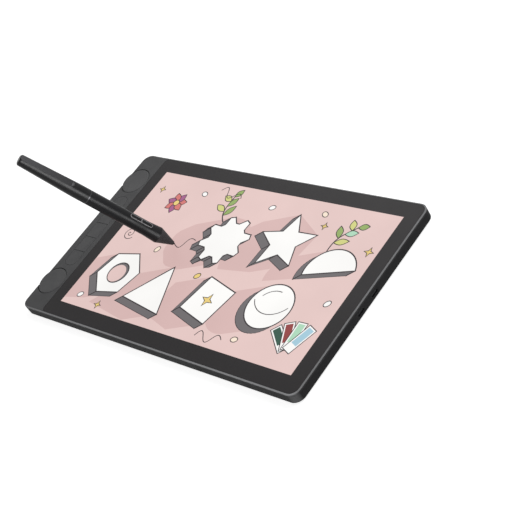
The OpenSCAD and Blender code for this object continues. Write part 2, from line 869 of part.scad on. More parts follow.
// Lies on both boards
module power_cable() color([0.75, 0.5, 0.2]) {
    block([power_cable_x - power_cable_w / 2, main_y + main_l - cable_lap, z_main_top],
          [power_cable_x + power_cable_w / 2, power_board_y + cable_lap, z_main_top + cable_t]);
}

// Keys, dials and the power button

// One length of the key column, with a hollow top and a flange that holds it under the frame
module key(i) {
    top = z_front + key_proud;
    flange_top = z_split - play;
    flange_low = flange_top - flange_t;
    stem_low = z_key_board_top + key_switch_h + key_travel + play;
    difference() {
        slab(flange_low, top) intersection() {
            key_column_plan(0);
            translate([key_x, key_y(i)]) square([2 * key_w, key_l], center = true);
        }
        translate([key_x, 0, top])
            edge_sweep(key_w, 2 * key_column, key_end_r) slope_above(key_chamfer, key_chamfer);
        key_place(i) {
            for (turn = [0, 180])
                rotate(turn) translate([-key_w, -key_l / 2, top]) upright_x(2 * key_w)
                    slope_above(key_chamfer, key_chamfer);
            translate([-key_w, 0, top + key_dish_r - key_dish]) rotate([0, 90, 0])
                cylinder(r = key_dish_r, h = 2 * key_w, $fn = 360);
        }
    }
    key_place(i) {
        slab(flange_low, flange_top) square([key_w + 2 * key_flange, key_l / 2], center = true);
        slab(stem_low, flange_top) circle(key_stem_r);
    }
}

module key_1() color([0.26, 0.26, 0.27]) key(0);

module key_2() color([0.26, 0.26, 0.27]) key(1);

module key_3() color([0.26, 0.26, 0.27]) key(2);

module key_4() color([0.26, 0.26, 0.27]) key(3);

module key_5() color([0.26, 0.26, 0.27]) key(4);

// Outline with flat ridges: two points on the crest and two in the groove of each
function ridged_ring(count, r, depth) = [
    for (i = [0 : 4 * count - 1])
        let (turn = (i + 0.5) * 90 / count, reach = i % 4 < 2 ? r : r - depth)
            [reach * cos(turn), reach * sin(turn)]
];

module dial(side) {
    low = z_front - dial_t;
    cap_low = z_front - dial_cap_h;
    ceiling = z_key_board_top + encoder_h + hub_gap;
    crest_r = dial_r - ridge_depth / 4;
    translate([dial_x, side * dial_y, 0]) {
        difference() {
            union() {
                slab(low, cap_low) polygon(ridged_ring(dial_ridges, crest_r, ridge_depth));
                slab(cap_low, z_front - dial_chamfer) circle(dial_r);
                translate([0, 0, z_front - dial_chamfer])
                    cylinder(r1 = dial_r, r2 = dial_r - dial_chamfer, h = dial_chamfer);
            }
            translate([0, 0, z_front + dial_dish_r - dial_dish]) sphere(dial_dish_r, $fn = 360);
            slab(low - cut, ceiling) circle(encoder_r + hub_gap);
        }
        slab(z_key_board_top + play, ceiling) circle(spindle_r);
    }
}

module dial_upper() color([0.29, 0.29, 0.3]) dial(1);

module dial_lower() color([0.29, 0.29, 0.3]) dial(-1);

module encoder(side) {
    translate([dial_x, side * dial_y, z_key_board_top]) difference() {
        cylinder(r = encoder_r, h = encoder_h);
        translate([0, 0, -cut]) cylinder(r = spindle_r + spindle_fit, h = encoder_h + 2 * cut);
    }
}

module encoder_upper() color([0.55, 0.55, 0.56]) encoder(1);

module encoder_lower() color([0.55, 0.55, 0.56]) encoder(-1);

module power_button() color([0.2, 0.2, 0.21]) {
    flange_y = y_top - wall - play;
    stem_y = power_board_y + power_board_l + power_plunger[1] + power_travel + play;
    stem = [3, 1.4];
    translate([power_x, 0, power_z]) {
        translate([0, flange_y - power_flange_t, 0])
            upright_y(y_top + power_proud - flange_y + power_flange_t) pill(power_l, power_h);
        translate([0, flange_y - power_flange_t, 0])
            upright_y(power_flange_t)
                square([power_l + 2 * power_flange, power_h + power_flange], center = true);
        translate([0, stem_y, 0]) upright_y(flange_y - stem_y) square(stem, center = true);
    }
}

// Pen

module pen_pose() {
    translate([x_screen + pen_spot_x, pen_spot_y, z_front + nib_gap + nib_tip_r])
        rotate([0, 0, pen_heading]) rotate([0, pen_lean, 0]) rotate([0, 0, pen_roll])
            translate([0, 0, -nib_tip_r]) children();
}

// Sloping flat towards the tail, round at its front end, on the same side as the buttons
module tail_flat() {
    reach = pen_l - flat_at + flat_w;
    translate([flat_front, 0, flat_at]) rotate([0, 90 - flat_slope, 0])
        linear_extrude(pen_r) translate([-reach / 2, 0]) pill(reach, flat_w);
}

// Outline of both side buttons, drawn out of the barrel's axis along +X
module button_bar(low, high, gap) {
    translate([low, 0, buttons_at + buttons_l / 2]) rotate([0, 90, 0])
        linear_extrude(high - low) pill(buttons_l + 2 * gap, buttons_w + 2 * gap);
}

module pen_front_barrel() color([0.16, 0.16, 0.17]) pen_pose() {
    difference() {
        rotate_extrude() polygon([
            [pen_bore_r, nose_l], [pen_front_r, nose_l], [pen_r, flare_to], [pen_seam_r, seam_at - seam_ring],
            [pen_bore_r, seam_at - seam_ring]
        ]);
        button_bar(0, 2 * pen_r, buttons_gap);
    }
}

module pen_seam_ring() color([0.5, 0.5, 0.52]) pen_pose() {
    setback = 0.15;
    translate([0, 0, seam_at - seam_ring]) difference() {
        cylinder(r = pen_seam_r - setback, h = seam_ring);
        translate([0, 0, -cut]) cylinder(r = pen_bore_r, h = seam_ring + 2 * cut);
    }
}

module pen_rear_barrel() color([0.16, 0.16, 0.17]) pen_pose() {
    neck_r = pen_bore_r - pen_fit;
    difference() {
        rotate_extrude() polygon([
            [pen_rear_bore_r, seam_at - rear_neck_l], [neck_r, seam_at - rear_neck_l], [neck_r, seam_at],
            [pen_seam_r, seam_at], [pen_seam_r, taper_at], [pen_tail_r, pen_l - cap_l],
            [pen_rear_bore_r, pen_l - cap_l]
        ]);
        tail_flat();
    }
}

module pen_end_cap() color([0.16, 0.16, 0.17]) pen_pose() {
    end = pen_l - cap_l;
    plug_r = pen_rear_bore_r - pen_fit;
    difference() {
        rotate_extrude() polygon([
            [0, end - cap_plug_l], [plug_r, end - cap_plug_l], [plug_r, end], [pen_tail_r, end],
            [pen_tail_r - cap_l / 4, end + cap_l / 2], [pen_tail_r - cap_l, pen_l], [0, pen_l]
        ]);
        tail_flat();
    }
}

module pen_nose_cone() color([0.12, 0.12, 0.13]) pen_pose() {
    mouth_r = nib_r + nib_fit;
    lip = 0.55;
    rotate_extrude() polygon([
        [mouth_r, nose_from], [mouth_r + lip, nose_from], [pen_front_r, nose_l], [nose_neck_r, nose_l],
        [nose_neck_r, nose_l + nose_neck_l], [nose_chamber_r, nose_l + nose_neck_l],
        [nose_chamber_r, ferrite_from], [mouth_r, ferrite_from]
    ]);
}

module pen_nib() color([0.1, 0.1, 0.1]) pen_pose() {
    shoulder_gap = 0.4;
    translate([0, 0, nib_tip_r]) sphere(nib_tip_r);
    rotate_extrude() polygon([
        [0, nib_tip_r], [nib_tip_r, nib_tip_r], [nib_r, nose_from - shoulder_gap], [nib_r, nib_l], [0, nib_l]
    ]);
}

module pen_ferrite() color([0.25, 0.25, 0.26]) pen_pose() {
    translate([0, 0, ferrite_from]) difference() {
        cylinder(r = ferrite_r, h = ferrite_to - ferrite_from);
        translate([0, 0, -cut]) cylinder(r = nib_r + nib_fit, h = ferrite_to - ferrite_from + 2 * cut);
    }
}

module pen_coil() color([0.75, 0.45, 0.2]) pen_pose() {
    margin = 1;
    length = nose_l + nose_neck_l - ferrite_from - 2 * margin;
    translate([0, 0, ferrite_from + margin]) difference() {
        cylinder(r = coil_r, h = length);
        translate([0, 0, -cut]) cylinder(r = ferrite_r + pen_fit, h = length + 2 * cut);
    }
}

module pen_pressure_sensor() color([0.85, 0.85, 0.8]) pen_pose() {
    socket_to = nib_l + nib_travel + 2 * play;
    difference() {
        union() {
            translate([0, 0, pressure_from]) cylinder(r = pressure_r, h = pressure_to - pressure_from);
            translate([0, 0, ferrite_to]) cylinder(r = ferrite_r, h = pressure_from - ferrite_to);
        }
        translate([0, 0, ferrite_to - cut]) cylinder(r = nib_r + nib_fit, h = socket_to - ferrite_to + cut);
    }
}

// Half-round tray under the pen's circuit board, held in the bore of the grip
module pen_carrier() color([0.3, 0.3, 0.32]) pen_pose() {
    r = pen_bore_r - pen_fit;
    translate([0, 0, carrier_from]) difference() {
        cylinder(r = r, h = carrier_to - carrier_from);
        block([pen_board_x, -2 * r, -cut], [2 * r, 2 * r, carrier_to - carrier_from + cut]);
    }
}

module pen_board() color([0.08, 0.3, 0.18]) pen_pose() {
    half = 3.5;
    margin = 1;
    block([pen_board_x, -half, carrier_from + margin], [pen_board_x + board_t, half, carrier_to - margin]);
}

module pen_switches() color([0.7, 0.7, 0.68]) pen_pose() {
    low = pen_board_x + board_t;
    for (n = [1, 3])
        translate([low, -pen_switch_size[0] / 2, buttons_at + n * buttons_l / 4 - pen_switch_size[1] / 2])
            cube([pen_switch_h, pen_switch_size[0], pen_switch_size[1]]);
}

// One of the two side buttons: 0 is the front one
module pen_button(which) {
    half = buttons_l / 2;
    from = buttons_at + which * half + (which == 0 ? -cut : buttons_gap / 2);
    to = buttons_at + half + which * half + (which == 0 ? -buttons_gap / 2 : cut);
    end = 1.2;
    pen_pose() {
        intersection() {
            button_bar(pen_flange_x, 2 * pen_r, 0);
            cylinder(r = pen_r + buttons_proud, h = pen_l);
            block([0, -pen_r, from], [2 * pen_r, pen_r, to]);
        }
        block([pen_flange_x, -pen_flange_w / 2, buttons_at + which * half + end],
              [pen_flange_x + pen_flange_t, pen_flange_w / 2, buttons_at + half + which * half - end]);
    }
}

module pen_button_front() color([0.2, 0.2, 0.21]) pen_button(0);

module pen_button_rear() color([0.2, 0.2, 0.21]) pen_button(1);

rear_cover();
front_frame();
cover_glass();
glass_tape();
display_panel();
light_guide();
backlight_tray();
light_strip();
pen_sensing_board();
shield_plate();
main_board();
board_chips();
board_connectors();
usb_port_upper();
usb_port_lower();
key_board();
key_switches();
key_1();
key_2();
key_3();
key_4();
key_5();
dial_upper();
dial_lower();
encoder_upper();
encoder_lower();
power_button();
power_board();
power_switch();
feet();
board_screws();
display_cable();
sensing_cable();
key_cable();
power_cable();
pen_front_barrel();
pen_rear_barrel();
pen_seam_ring();
pen_nose_cone();
pen_nib();
pen_button_front();
pen_button_rear();
pen_end_cap();
pen_ferrite();
pen_coil();
pen_pressure_sensor();
pen_carrier();
pen_board();
pen_switches();
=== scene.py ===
"""Looks of a pen display and its pen: finishes, the picture on the screen, floor, light and camera."""
import json
import math

import bmesh
import bpy
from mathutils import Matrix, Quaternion, Vector
from mathutils.geometry import delaunay_2d_cdt


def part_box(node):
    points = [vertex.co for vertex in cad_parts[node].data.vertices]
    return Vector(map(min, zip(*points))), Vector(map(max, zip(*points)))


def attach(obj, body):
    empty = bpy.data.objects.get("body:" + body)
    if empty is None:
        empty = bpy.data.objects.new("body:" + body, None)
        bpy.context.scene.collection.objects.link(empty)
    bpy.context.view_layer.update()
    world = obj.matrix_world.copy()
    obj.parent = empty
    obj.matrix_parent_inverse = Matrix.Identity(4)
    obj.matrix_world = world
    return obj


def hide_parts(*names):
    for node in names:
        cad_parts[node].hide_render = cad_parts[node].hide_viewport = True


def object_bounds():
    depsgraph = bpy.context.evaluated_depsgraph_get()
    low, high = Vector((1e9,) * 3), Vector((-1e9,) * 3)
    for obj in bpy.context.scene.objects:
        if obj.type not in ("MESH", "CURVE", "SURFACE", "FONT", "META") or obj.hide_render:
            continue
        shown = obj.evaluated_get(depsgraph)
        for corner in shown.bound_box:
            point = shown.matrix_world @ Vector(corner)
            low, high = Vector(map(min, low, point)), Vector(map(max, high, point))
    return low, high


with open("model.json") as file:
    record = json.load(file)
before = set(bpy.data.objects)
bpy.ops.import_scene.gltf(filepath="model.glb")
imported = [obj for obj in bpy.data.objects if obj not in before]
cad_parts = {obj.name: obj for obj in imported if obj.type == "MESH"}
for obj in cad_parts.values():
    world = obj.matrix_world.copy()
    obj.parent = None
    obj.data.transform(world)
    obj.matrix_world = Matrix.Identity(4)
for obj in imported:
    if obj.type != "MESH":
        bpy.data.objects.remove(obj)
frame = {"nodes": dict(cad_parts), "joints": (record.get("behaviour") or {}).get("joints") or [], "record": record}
cad_low, cad_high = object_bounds()

MM = 0.001
RIGHT, BACK, UP = Vector((1, 0, 0)), Vector((0, 1, 0)), Vector((0, 0, 1))

# Camera, as the photograph was taken
CAMERA_AIM = (0.06278, 0.00678, 0.0117)
CAMERA_DISTANCE = 1.0823
CAMERA_AZIMUTH = 61.215
CAMERA_ELEVATION = 37.838
CAMERA_ROLL = -34.305
CAMERA_LENS = 87.95
CAMERA_SENSOR = 36.0

# Cover glass, and how its sheet is cut and cleaned
GLASS_CORNER = 7.3 * MM
GLASS_STRIP_CORNER = 4.4 * MM
GLASS_BEVEL = 0.2 * MM
GLASS_ROUGHNESS = 0.42
GLASS_SPECULAR = 0.08
CORNER_STEPS = 10
INSIDE_TRIANGLES = 1
CUT_PRECISION = 1e-5
MERGE_DISTANCE = 1e-7
FLAT_ANGLE = math.radians(0.5)

# Pen: directions of its tail and of its buttons and flat
AXES = {joint["name"]: Vector(joint["axis"]) for joint in frame["joints"]}
PEN_AXIS = AXES["pen_nib_press"]
PEN_FACE = -AXES["pen_button_front_press"]
PEN_SIDE = PEN_AXIS.cross(PEN_FACE)

# Pen: its flat, from the front end with a painted highlight to the tail, and the highlight painted round its
# buttons
FLAT_FROM_SEAM = 16.8 * MM
FLAT_LENGTH = 51 * MM
FLAT_HIGHLIGHT_LENGTH = 1.4 * MM
FLAT_HIGHLIGHT_BLUR = 0.2 * MM
FLAT_COSINES = (0.96, 0.98)
BUTTON_RADIUS = 2 * MM
BUTTON_HIGHLIGHT_WIDTH = 0.45 * MM
BUTTON_SPLIT = 0.4 * MM
EDGE_BLUR = 0.1 * MM

# Front corners of the casing: directions from its middle, and the distances between which a highlight is painted
# on their walls
FRONT_CORNERS = (Vector((0.616, -0.788, 0.0)), Vector((-0.616, -0.788, 0.0)))
CORNER_HIGHLIGHT_REACH = (182.2 * MM, 183.8 * MM)

# Slopes of the casing and its controls carry a painted highlight: shares of the light edge colour on the sides
# and at the left end, and how far from that end the front rim is fully light
SIDE_SHARE = 0.52
LEFT_END_SHARE = 0.62
LEFT_END_LENGTH = 115 * MM

# Cosines between which a face turns: slope to top and wall to slope, upright wall to other faces, and left or
# front to the other sides
TOP_COSINES = (0.94, 0.985)
SLOPE_COSINES = (0.3, 0.5)
WALL_COSINES = (0.1, 0.3)
SIDE_COSINES = (-0.3, -0.1)

# The part of a noise that is stretched to its full range, and the whole range
NOISE_LIMITS = (0.3, 0.7)
WHOLE = (0.0, 1.0)

# Colour sockets of a mix node, which share their names with its other sockets
MIX_FIRST, MIX_SECOND, MIX_RESULT = 6, 7, 2

# Drawing style of the picture, in millimetres on the screen
LINE = 1.2
THIN_LINE = 0.8
BLOCK_DEPTH = Vector((-5.0, -6.0))
SHADOW_REACH = Vector((-34.0, -15.0))
SMALLEST_SIDE = 0.2
SHARP_CORNER = math.radians(25)
MITRE_LIMIT = 2.0
TINY = 1e-6
LEAF_STEPS = 9
LEAF_TURN = 48
WAVE_FADE = 0.4

# Light
WHITE = (1.0, 1.0, 1.0, 1.0)
AMBIENT = 0.34
FLOOR_ALBEDO = 0.55
FLOOR_LIFT = 0.8
FLOOR_SIZE = 12.0


def srgb(red, green, blue):
    """Linear colour of display levels from 0 to 255."""
    levels = (red / 255, green / 255, blue / 255)
    return tuple(v / 12.92 if v <= 0.04045 else ((v + 0.055) / 1.055) ** 2.4 for v in levels)


def scaled(colour, share):
    return tuple(min(1.0, v * share) for v in colour)


# Material parts

def new_material(name, colour, roughness, specular=0.5, metallic=0.0):
    material = bpy.data.materials.new(name)
    material.use_nodes = True
    shader = material.node_tree.nodes["Principled BSDF"]
    shader.inputs["Base Color"].default_value = (*colour, 1.0)
    shader.inputs["Roughness"].default_value = roughness
    shader.inputs["Specular IOR Level"].default_value = specular
    shader.inputs["Metallic"].default_value = metallic
    return material, material.node_tree, shader


def opened(material):
    """Node tree, shader and colour of a finish that is painted over."""
    tree = material.node_tree
    shader = tree.nodes["Principled BSDF"]
    return tree, shader, shader.inputs["Base Color"].links[0].from_socket


def feed(tree, socket, value):
    """Sets a socket to a number or a colour, or links it to a node's output."""
    if isinstance(value, bpy.types.NodeSocket):
        tree.links.new(value, socket)
    elif isinstance(value, tuple):
        socket.default_value = (*value, 1.0)
    else:
        socket.default_value = value


def placed_vector(tree, size, stretch=(1, 1, 1)):
    """The object's own coordinates, in units of a feature size in metres."""
    coordinates = tree.nodes.new("ShaderNodeTexCoord")
    mapping = tree.nodes.new("ShaderNodeMapping")
    mapping.inputs["Scale"].default_value = [s / size for s in stretch]
    tree.links.new(coordinates.outputs["Object"], mapping.inputs["Vector"])
    return mapping.outputs["Vector"]


def noise(tree, size, detail, stretch=(1, 1, 1)):
    texture = tree.nodes.new("ShaderNodeTexNoise")
    texture.inputs["Scale"].default_value = 1.0
    texture.inputs["Detail"].default_value = detail
    tree.links.new(placed_vector(tree, size, stretch), texture.inputs["Vector"])
    return texture.outputs["Fac"]


def stripes(tree, size, direction, distortion=0.0):
    texture = tree.nodes.new("ShaderNodeTexWave")
    texture.bands_direction = direction
    texture.inputs["Scale"].default_value = 1.0 / math.tau
    texture.inputs["Distortion"].default_value = distortion
    tree.links.new(placed_vector(tree, size / math.tau), texture.inputs["Vector"])
    return texture.outputs["Fac"]


def cells(tree, size):
    texture = tree.nodes.new("ShaderNodeTexVoronoi")
    texture.inputs["Scale"].default_value = 1.0
    tree.links.new(placed_vector(tree, size), texture.inputs["Vector"])
    return texture.outputs["Distance"]


def remap(tree, value, limits, low=0.0, high=1.0):
    """Takes a value from between two limits to between low and high."""
    node = tree.nodes.new("ShaderNodeMapRange")
    node.inputs["From Min"].default_value = limits[0]
    node.inputs["From Max"].default_value = limits[1]
    node.inputs["To Min"].default_value = low
    node.inputs["To Max"].default_value = high
    tree.links.new(value, node.inputs["Value"])
    return node.outputs["Result"]


def blend_colours(tree, factor, first, second):
    """Mixes two colours, each a tuple or a node's output."""
    node = tree.nodes.new("ShaderNodeMix")
    node.data_type = "RGBA"
    tree.links.new(factor, node.inputs["Factor"])
    feed(tree, node.inputs[MIX_FIRST], first)
    feed(tree, node.inputs[MIX_SECOND], second)
    return node.outputs[MIX_RESULT]


def patches(tree, size, low=0.0, high=1.0, detail=3.0):
    """Slow changes between two values, in patches of a size."""
    return remap(tree, noise(tree, size, detail), NOISE_LIMITS, low, high)


def mottle(tree, shader, colour, share, size):
    """Slow colour changes of a moulding, by a share to both sides of the written colour."""
    mixed = blend_colours(tree, patches(tree, size), scaled(colour, 1 - share), scaled(colour, 1 + share))
    tree.links.new(mixed, shader.inputs["Base Color"])
    return mixed


def vary_roughness(tree, shader, size, low, high):
    tree.links.new(patches(tree, size, low, high), shader.inputs["Roughness"])


def add_bump(tree, shader, height, depth):
    bump = tree.nodes.new("ShaderNodeBump")
    bump.inputs["Strength"].default_value = 1.0
    bump.inputs["Distance"].default_value = depth
    tree.links.new(height, bump.inputs["Height"])
    tree.links.new(bump.outputs["Normal"], shader.inputs["Normal"])


def calculated(tree, operation, first, second=0.0):
    """One sum on a node's output and a number or another output."""
    node = tree.nodes.new("ShaderNodeMath")
    node.operation = operation
    feed(tree, node.inputs[0], first)
    feed(tree, node.inputs[1], second)
    return node.outputs["Value"]


def product(tree, first, *others):
    for factor in others:
        first = calculated(tree, "MULTIPLY", first, factor)
    return first


def along(tree, vector, direction):
    """How far a vector reaches in a direction."""
    node = tree.nodes.new("ShaderNodeVectorMath")
    node.operation = "DOT_PRODUCT"
    node.inputs[1].default_value = direction
    tree.links.new(vector, node.inputs[0])
    return node.outputs["Value"]


def place_along(tree, direction):
    """How far a point lies from the frame's origin in a direction."""
    coordinates = tree.nodes.new("ShaderNodeTexCoord")
    return along(tree, coordinates.outputs["Object"], direction)


def facing(tree, direction):
    """Cosine between a direction and the one in which a face looks."""
    geometry = tree.nodes.new("ShaderNodeNewGeometry")
    return along(tree, geometry.outputs["True Normal"], direction)


def slope_mask(tree):
    """1 on slopes that look half upwards, 0 on tops and walls."""
    upwards = facing(tree, UP)
    below_top = remap(tree, upwards, TOP_COSINES, 1.0, 0.0)
    above_wall = remap(tree, upwards, SLOPE_COSINES)
    return product(tree, below_top, above_wall)


def highlight_slope_mask(tree):
    """Painted highlight: 1 on front slopes, less on other sides and towards the left end, 0 on slopes to the left.
    """
    not_left = remap(tree, facing(tree, RIGHT), SIDE_COSINES)
    to_front = remap(tree, facing(tree, BACK), SIDE_COSINES, 1.0, SIDE_SHARE)
    left_end = (cad_low.x, cad_low.x + LEFT_END_LENGTH)
    from_left = remap(tree, place_along(tree, RIGHT), left_end, LEFT_END_SHARE, 1.0)
    return product(tree, slope_mask(tree), not_left, to_front, from_left)


def wall_mask(tree):
    """1 on upright walls."""
    return remap(tree, calculated(tree, "ABSOLUTE", facing(tree, UP)), WALL_COSINES, 1.0, 0.0)


# Finishes

def moulded_plastic(name, colour, roughness, specular=0.25, grain=0.35 * MM, depth=0.02 * MM, edge_highlight=None):
    """Spark-eroded moulding; a lighter colour, if given, is a highlight painted on its slopes."""
    material, tree, shader = new_material(name, colour, roughness, specular)
    mixed = mottle(tree, shader, colour, share=0.07, size=14 * MM)
    vary_roughness(tree, shader, size=9 * MM, low=roughness - 0.05, high=roughness + 0.05)
    add_bump(tree, shader, noise(tree, grain, detail=3.0), depth)
    if edge_highlight:
        # Painted highlight: slopes take the lighter edge colour
        shown = blend_colours(tree, highlight_slope_mask(tree), mixed, edge_highlight)
        tree.links.new(shown, shader.inputs["Base Color"])
    return material


def casing_plastic(name, top, wall, corner, specular, edge_highlight=None):
    """Moulding whose walls are painted darker as shade, with a painted highlight on them at the front corners."""
    material = moulded_plastic(name, top, roughness=0.6, specular=specular, edge_highlight=edge_highlight)
    tree, shader, mixed = opened(material)
    # Painted highlight: the walls grow lighter at the front corners
    for direction in FRONT_CORNERS:
        corner_highlight = remap(tree, place_along(tree, direction), CORNER_HIGHLIGHT_REACH)
        wall = blend_colours(tree, corner_highlight, wall, corner)
    # Painted shade: upright walls take the darker wall colour
    tree.links.new(blend_colours(tree, wall_mask(tree), mixed, wall), shader.inputs["Base Color"])
    return material


def pen_plastic(name, colour, roughness, specular):
    """Soft-touch black of the pen."""
    return moulded_plastic(name, colour, roughness, specular, grain=0.2 * MM, depth=0.008 * MM)


def reach_of(nodes, direction):
    """Lowest and highest reach of some nodes in a direction."""
    reach = [direction.dot(corner.co) for node in nodes for corner in frame["nodes"][node].data.vertices]
    return min(reach), max(reach)


def from_middle(tree, nodes, direction):
    """Distance from the middle of some nodes along a direction, and how far they reach from there."""
    low, high = reach_of(nodes, direction)
    place = calculated(tree, "SUBTRACT", place_along(tree, direction), (low + high) / 2)
    return calculated(tree, "ABSOLUTE", place), (high - low) / 2


def button_plastic(name, colour, edge_highlight):
    """Pen plastic with a highlight painted as lighter edges round the two buttons and between them."""
    material = pen_plastic(name, colour, roughness=0.4, specular=0.12)
    tree, shader, top = opened(material)
    buttons = ("pen_button_front", "pen_button_rear")
    lengthwise, half_length = from_middle(tree, buttons, PEN_AXIS)
    crosswise, _ = from_middle(tree, buttons, PEN_SIDE)
    past_middle = calculated(tree, "SUBTRACT", lengthwise, half_length - BUTTON_RADIUS)
    from_centre = tree.nodes.new("ShaderNodeCombineXYZ")
    tree.links.new(crosswise, from_centre.inputs["X"])
    tree.links.new(calculated(tree, "MAXIMUM", past_middle), from_centre.inputs["Y"])
    reach = tree.nodes.new("ShaderNodeVectorMath")
    reach.operation = "LENGTH"
    tree.links.new(from_centre.outputs["Vector"], reach.inputs[0])
    inner = BUTTON_RADIUS - BUTTON_HIGHLIGHT_WIDTH
    # Painted highlight: a lighter rim round the buttons and a lighter line between them
    rim_highlight = remap(tree, reach.outputs["Value"], (inner, inner + EDGE_BLUR))
    gap_highlight = remap(tree, lengthwise, (BUTTON_SPLIT, BUTTON_SPLIT + EDGE_BLUR), 1.0, 0.0)
    rim_highlighted = blend_colours(tree, rim_highlight, top, edge_highlight)
    tree.links.new(blend_colours(tree, gap_highlight, rim_highlighted, edge_highlight), shader.inputs["Base Color"])
    return material


def barrel_with_flat(name, colour, flat_end_highlight, flat_front_sheen, flat_tail_sheen):
    """Pen plastic with a painted sheen on its flat: a highlight at its front end, lighter towards the tail."""
    material = pen_plastic(name, colour, roughness=0.32, specular=0.18)
    tree, shader, barrel = opened(material)
    low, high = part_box("pen_seam_ring")
    front = ((low + high) / 2).dot(PEN_AXIS) + FLAT_FROM_SEAM
    end = front + FLAT_HIGHLIGHT_LENGTH
    place = place_along(tree, PEN_AXIS)
    behind = remap(tree, place, (front, front + EDGE_BLUR))
    mask = product(tree, behind, remap(tree, facing(tree, PEN_FACE), FLAT_COSINES))
    flat = blend_colours(tree, remap(tree, place, (front, front + FLAT_LENGTH)), flat_front_sheen, flat_tail_sheen)
    flat = blend_colours(tree, remap(tree, place, (end, end + FLAT_HIGHLIGHT_BLUR)), flat_end_highlight, flat)
    tree.links.new(blend_colours(tree, mask, barrel, flat), shader.inputs["Base Color"])
    return material


def etch(tree, shader):
    """Fine frosting of the cover glass."""
    vary_roughness(tree, shader, size=25 * MM, low=GLASS_ROUGHNESS - 0.02, high=GLASS_ROUGHNESS + 0.02)
    add_bump(tree, shader, noise(tree, 0.12 * MM, detail=1.0), depth=0.002 * MM)


def etched_glass(name, colour):
    material, tree, shader = new_material(name, colour, GLASS_ROUGHNESS, GLASS_SPECULAR)
    mottle(tree, shader, colour, share=0.04, size=40 * MM)
    etch(tree, shader)
    return material


def lit_picture(name, colour):
    """Part of the picture behind the etched glass; the backlight is a little uneven."""
    material, tree, shader = new_material(name, scaled(colour, 0.05), GLASS_ROUGHNESS, GLASS_SPECULAR)
    uneven = patches(tree, 60 * MM, detail=2.0)
    glow = blend_colours(tree, uneven, scaled(colour, 0.9), scaled(colour, 0.96))
    tree.links.new(glow, shader.inputs["Emission Color"])
    shader.inputs["Emission Strength"].default_value = 1.0
    etch(tree, shader)
    return material


def rubber(name, colour):
    material, tree, shader = new_material(name, colour, roughness=0.85, specular=0.2)
    mottle(tree, shader, colour, share=0.15, size=3 * MM)
    vary_roughness(tree, shader, size=4 * MM, low=0.78, high=0.92)
    add_bump(tree, shader, noise(tree, 0.25 * MM, detail=4.0), depth=0.03 * MM)
    return material


def metal(name, colour, roughness, stretch=(1, 30, 1)):
    """Metal with fine lines along X, or with an even grain where the stretch is the same all ways."""
    material, tree, shader = new_material(name, colour, roughness, metallic=1.0)
    mottle(tree, shader, colour, share=0.1, size=5 * MM)
    lines = noise(tree, 1.5 * MM, detail=4.0, stretch=stretch)
    rough = remap(tree, lines, NOISE_LIMITS, roughness - 0.08, roughness + 0.1)
    tree.links.new(rough, shader.inputs["Roughness"])
    add_bump(tree, shader, lines, depth=0.004 * MM)
    return material


def circuit_board(name, mask, trace):
    """Solder mask with copper tracks under it."""
    material, tree, shader = new_material(name, mask, roughness=0.35)
    tracks = remap(tree, stripes(tree, 2.2 * MM, "DIAGONAL", distortion=3.0), (0.6, 0.7))
    tree.links.new(blend_colours(tree, tracks, mask, trace), shader.inputs["Base Color"])
    vary_roughness(tree, shader, size=6 * MM, low=0.3, high=0.45)
    add_bump(tree, shader, tracks, depth=0.02 * MM)
    return material


def cable_film(name, film, conductor):
    """Amber film with fine conductors."""
    material, tree, shader = new_material(name, film, roughness=0.25)
    lines = remap(tree, stripes(tree, 1.0 * MM, "X"), (0.45, 0.55))
    tree.links.new(blend_colours(tree, lines, film, conductor), shader.inputs["Base Color"])
    vary_roughness(tree, shader, size=6 * MM, low=0.2, high=0.35)
    add_bump(tree, shader, lines, depth=0.01 * MM)
    return material


def light_guide(name, colour):
    """Milky plate with the dots that let the light out."""
    material, tree, shader = new_material(name, colour, roughness=0.2)
    dots = remap(tree, cells(tree, 1.2 * MM), (0.2, 0.3), 1.0, 0.0)
    tree.links.new(blend_colours(tree, dots, colour, scaled(colour, 0.8)), shader.inputs["Base Color"])
    vary_roughness(tree, shader, size=8 * MM, low=0.15, high=0.3)
    add_bump(tree, shader, dots, depth=0.01 * MM)
    return material


def winding(name, colour):
    """Enamelled wire, turn beside turn."""
    material, tree, shader = new_material(name, colour, roughness=0.3, metallic=1.0)
    mottle(tree, shader, colour, share=0.15, size=1 * MM)
    add_bump(tree, shader, stripes(tree, 0.2 * MM, "Z"), depth=0.06 * MM)
    return material


# Grey of the highlight painted on the walls at the front corners
CORNER_HIGHLIGHT_GREY = srgb(102, 102, 103)
ALL_WAYS = (1, 1, 1)
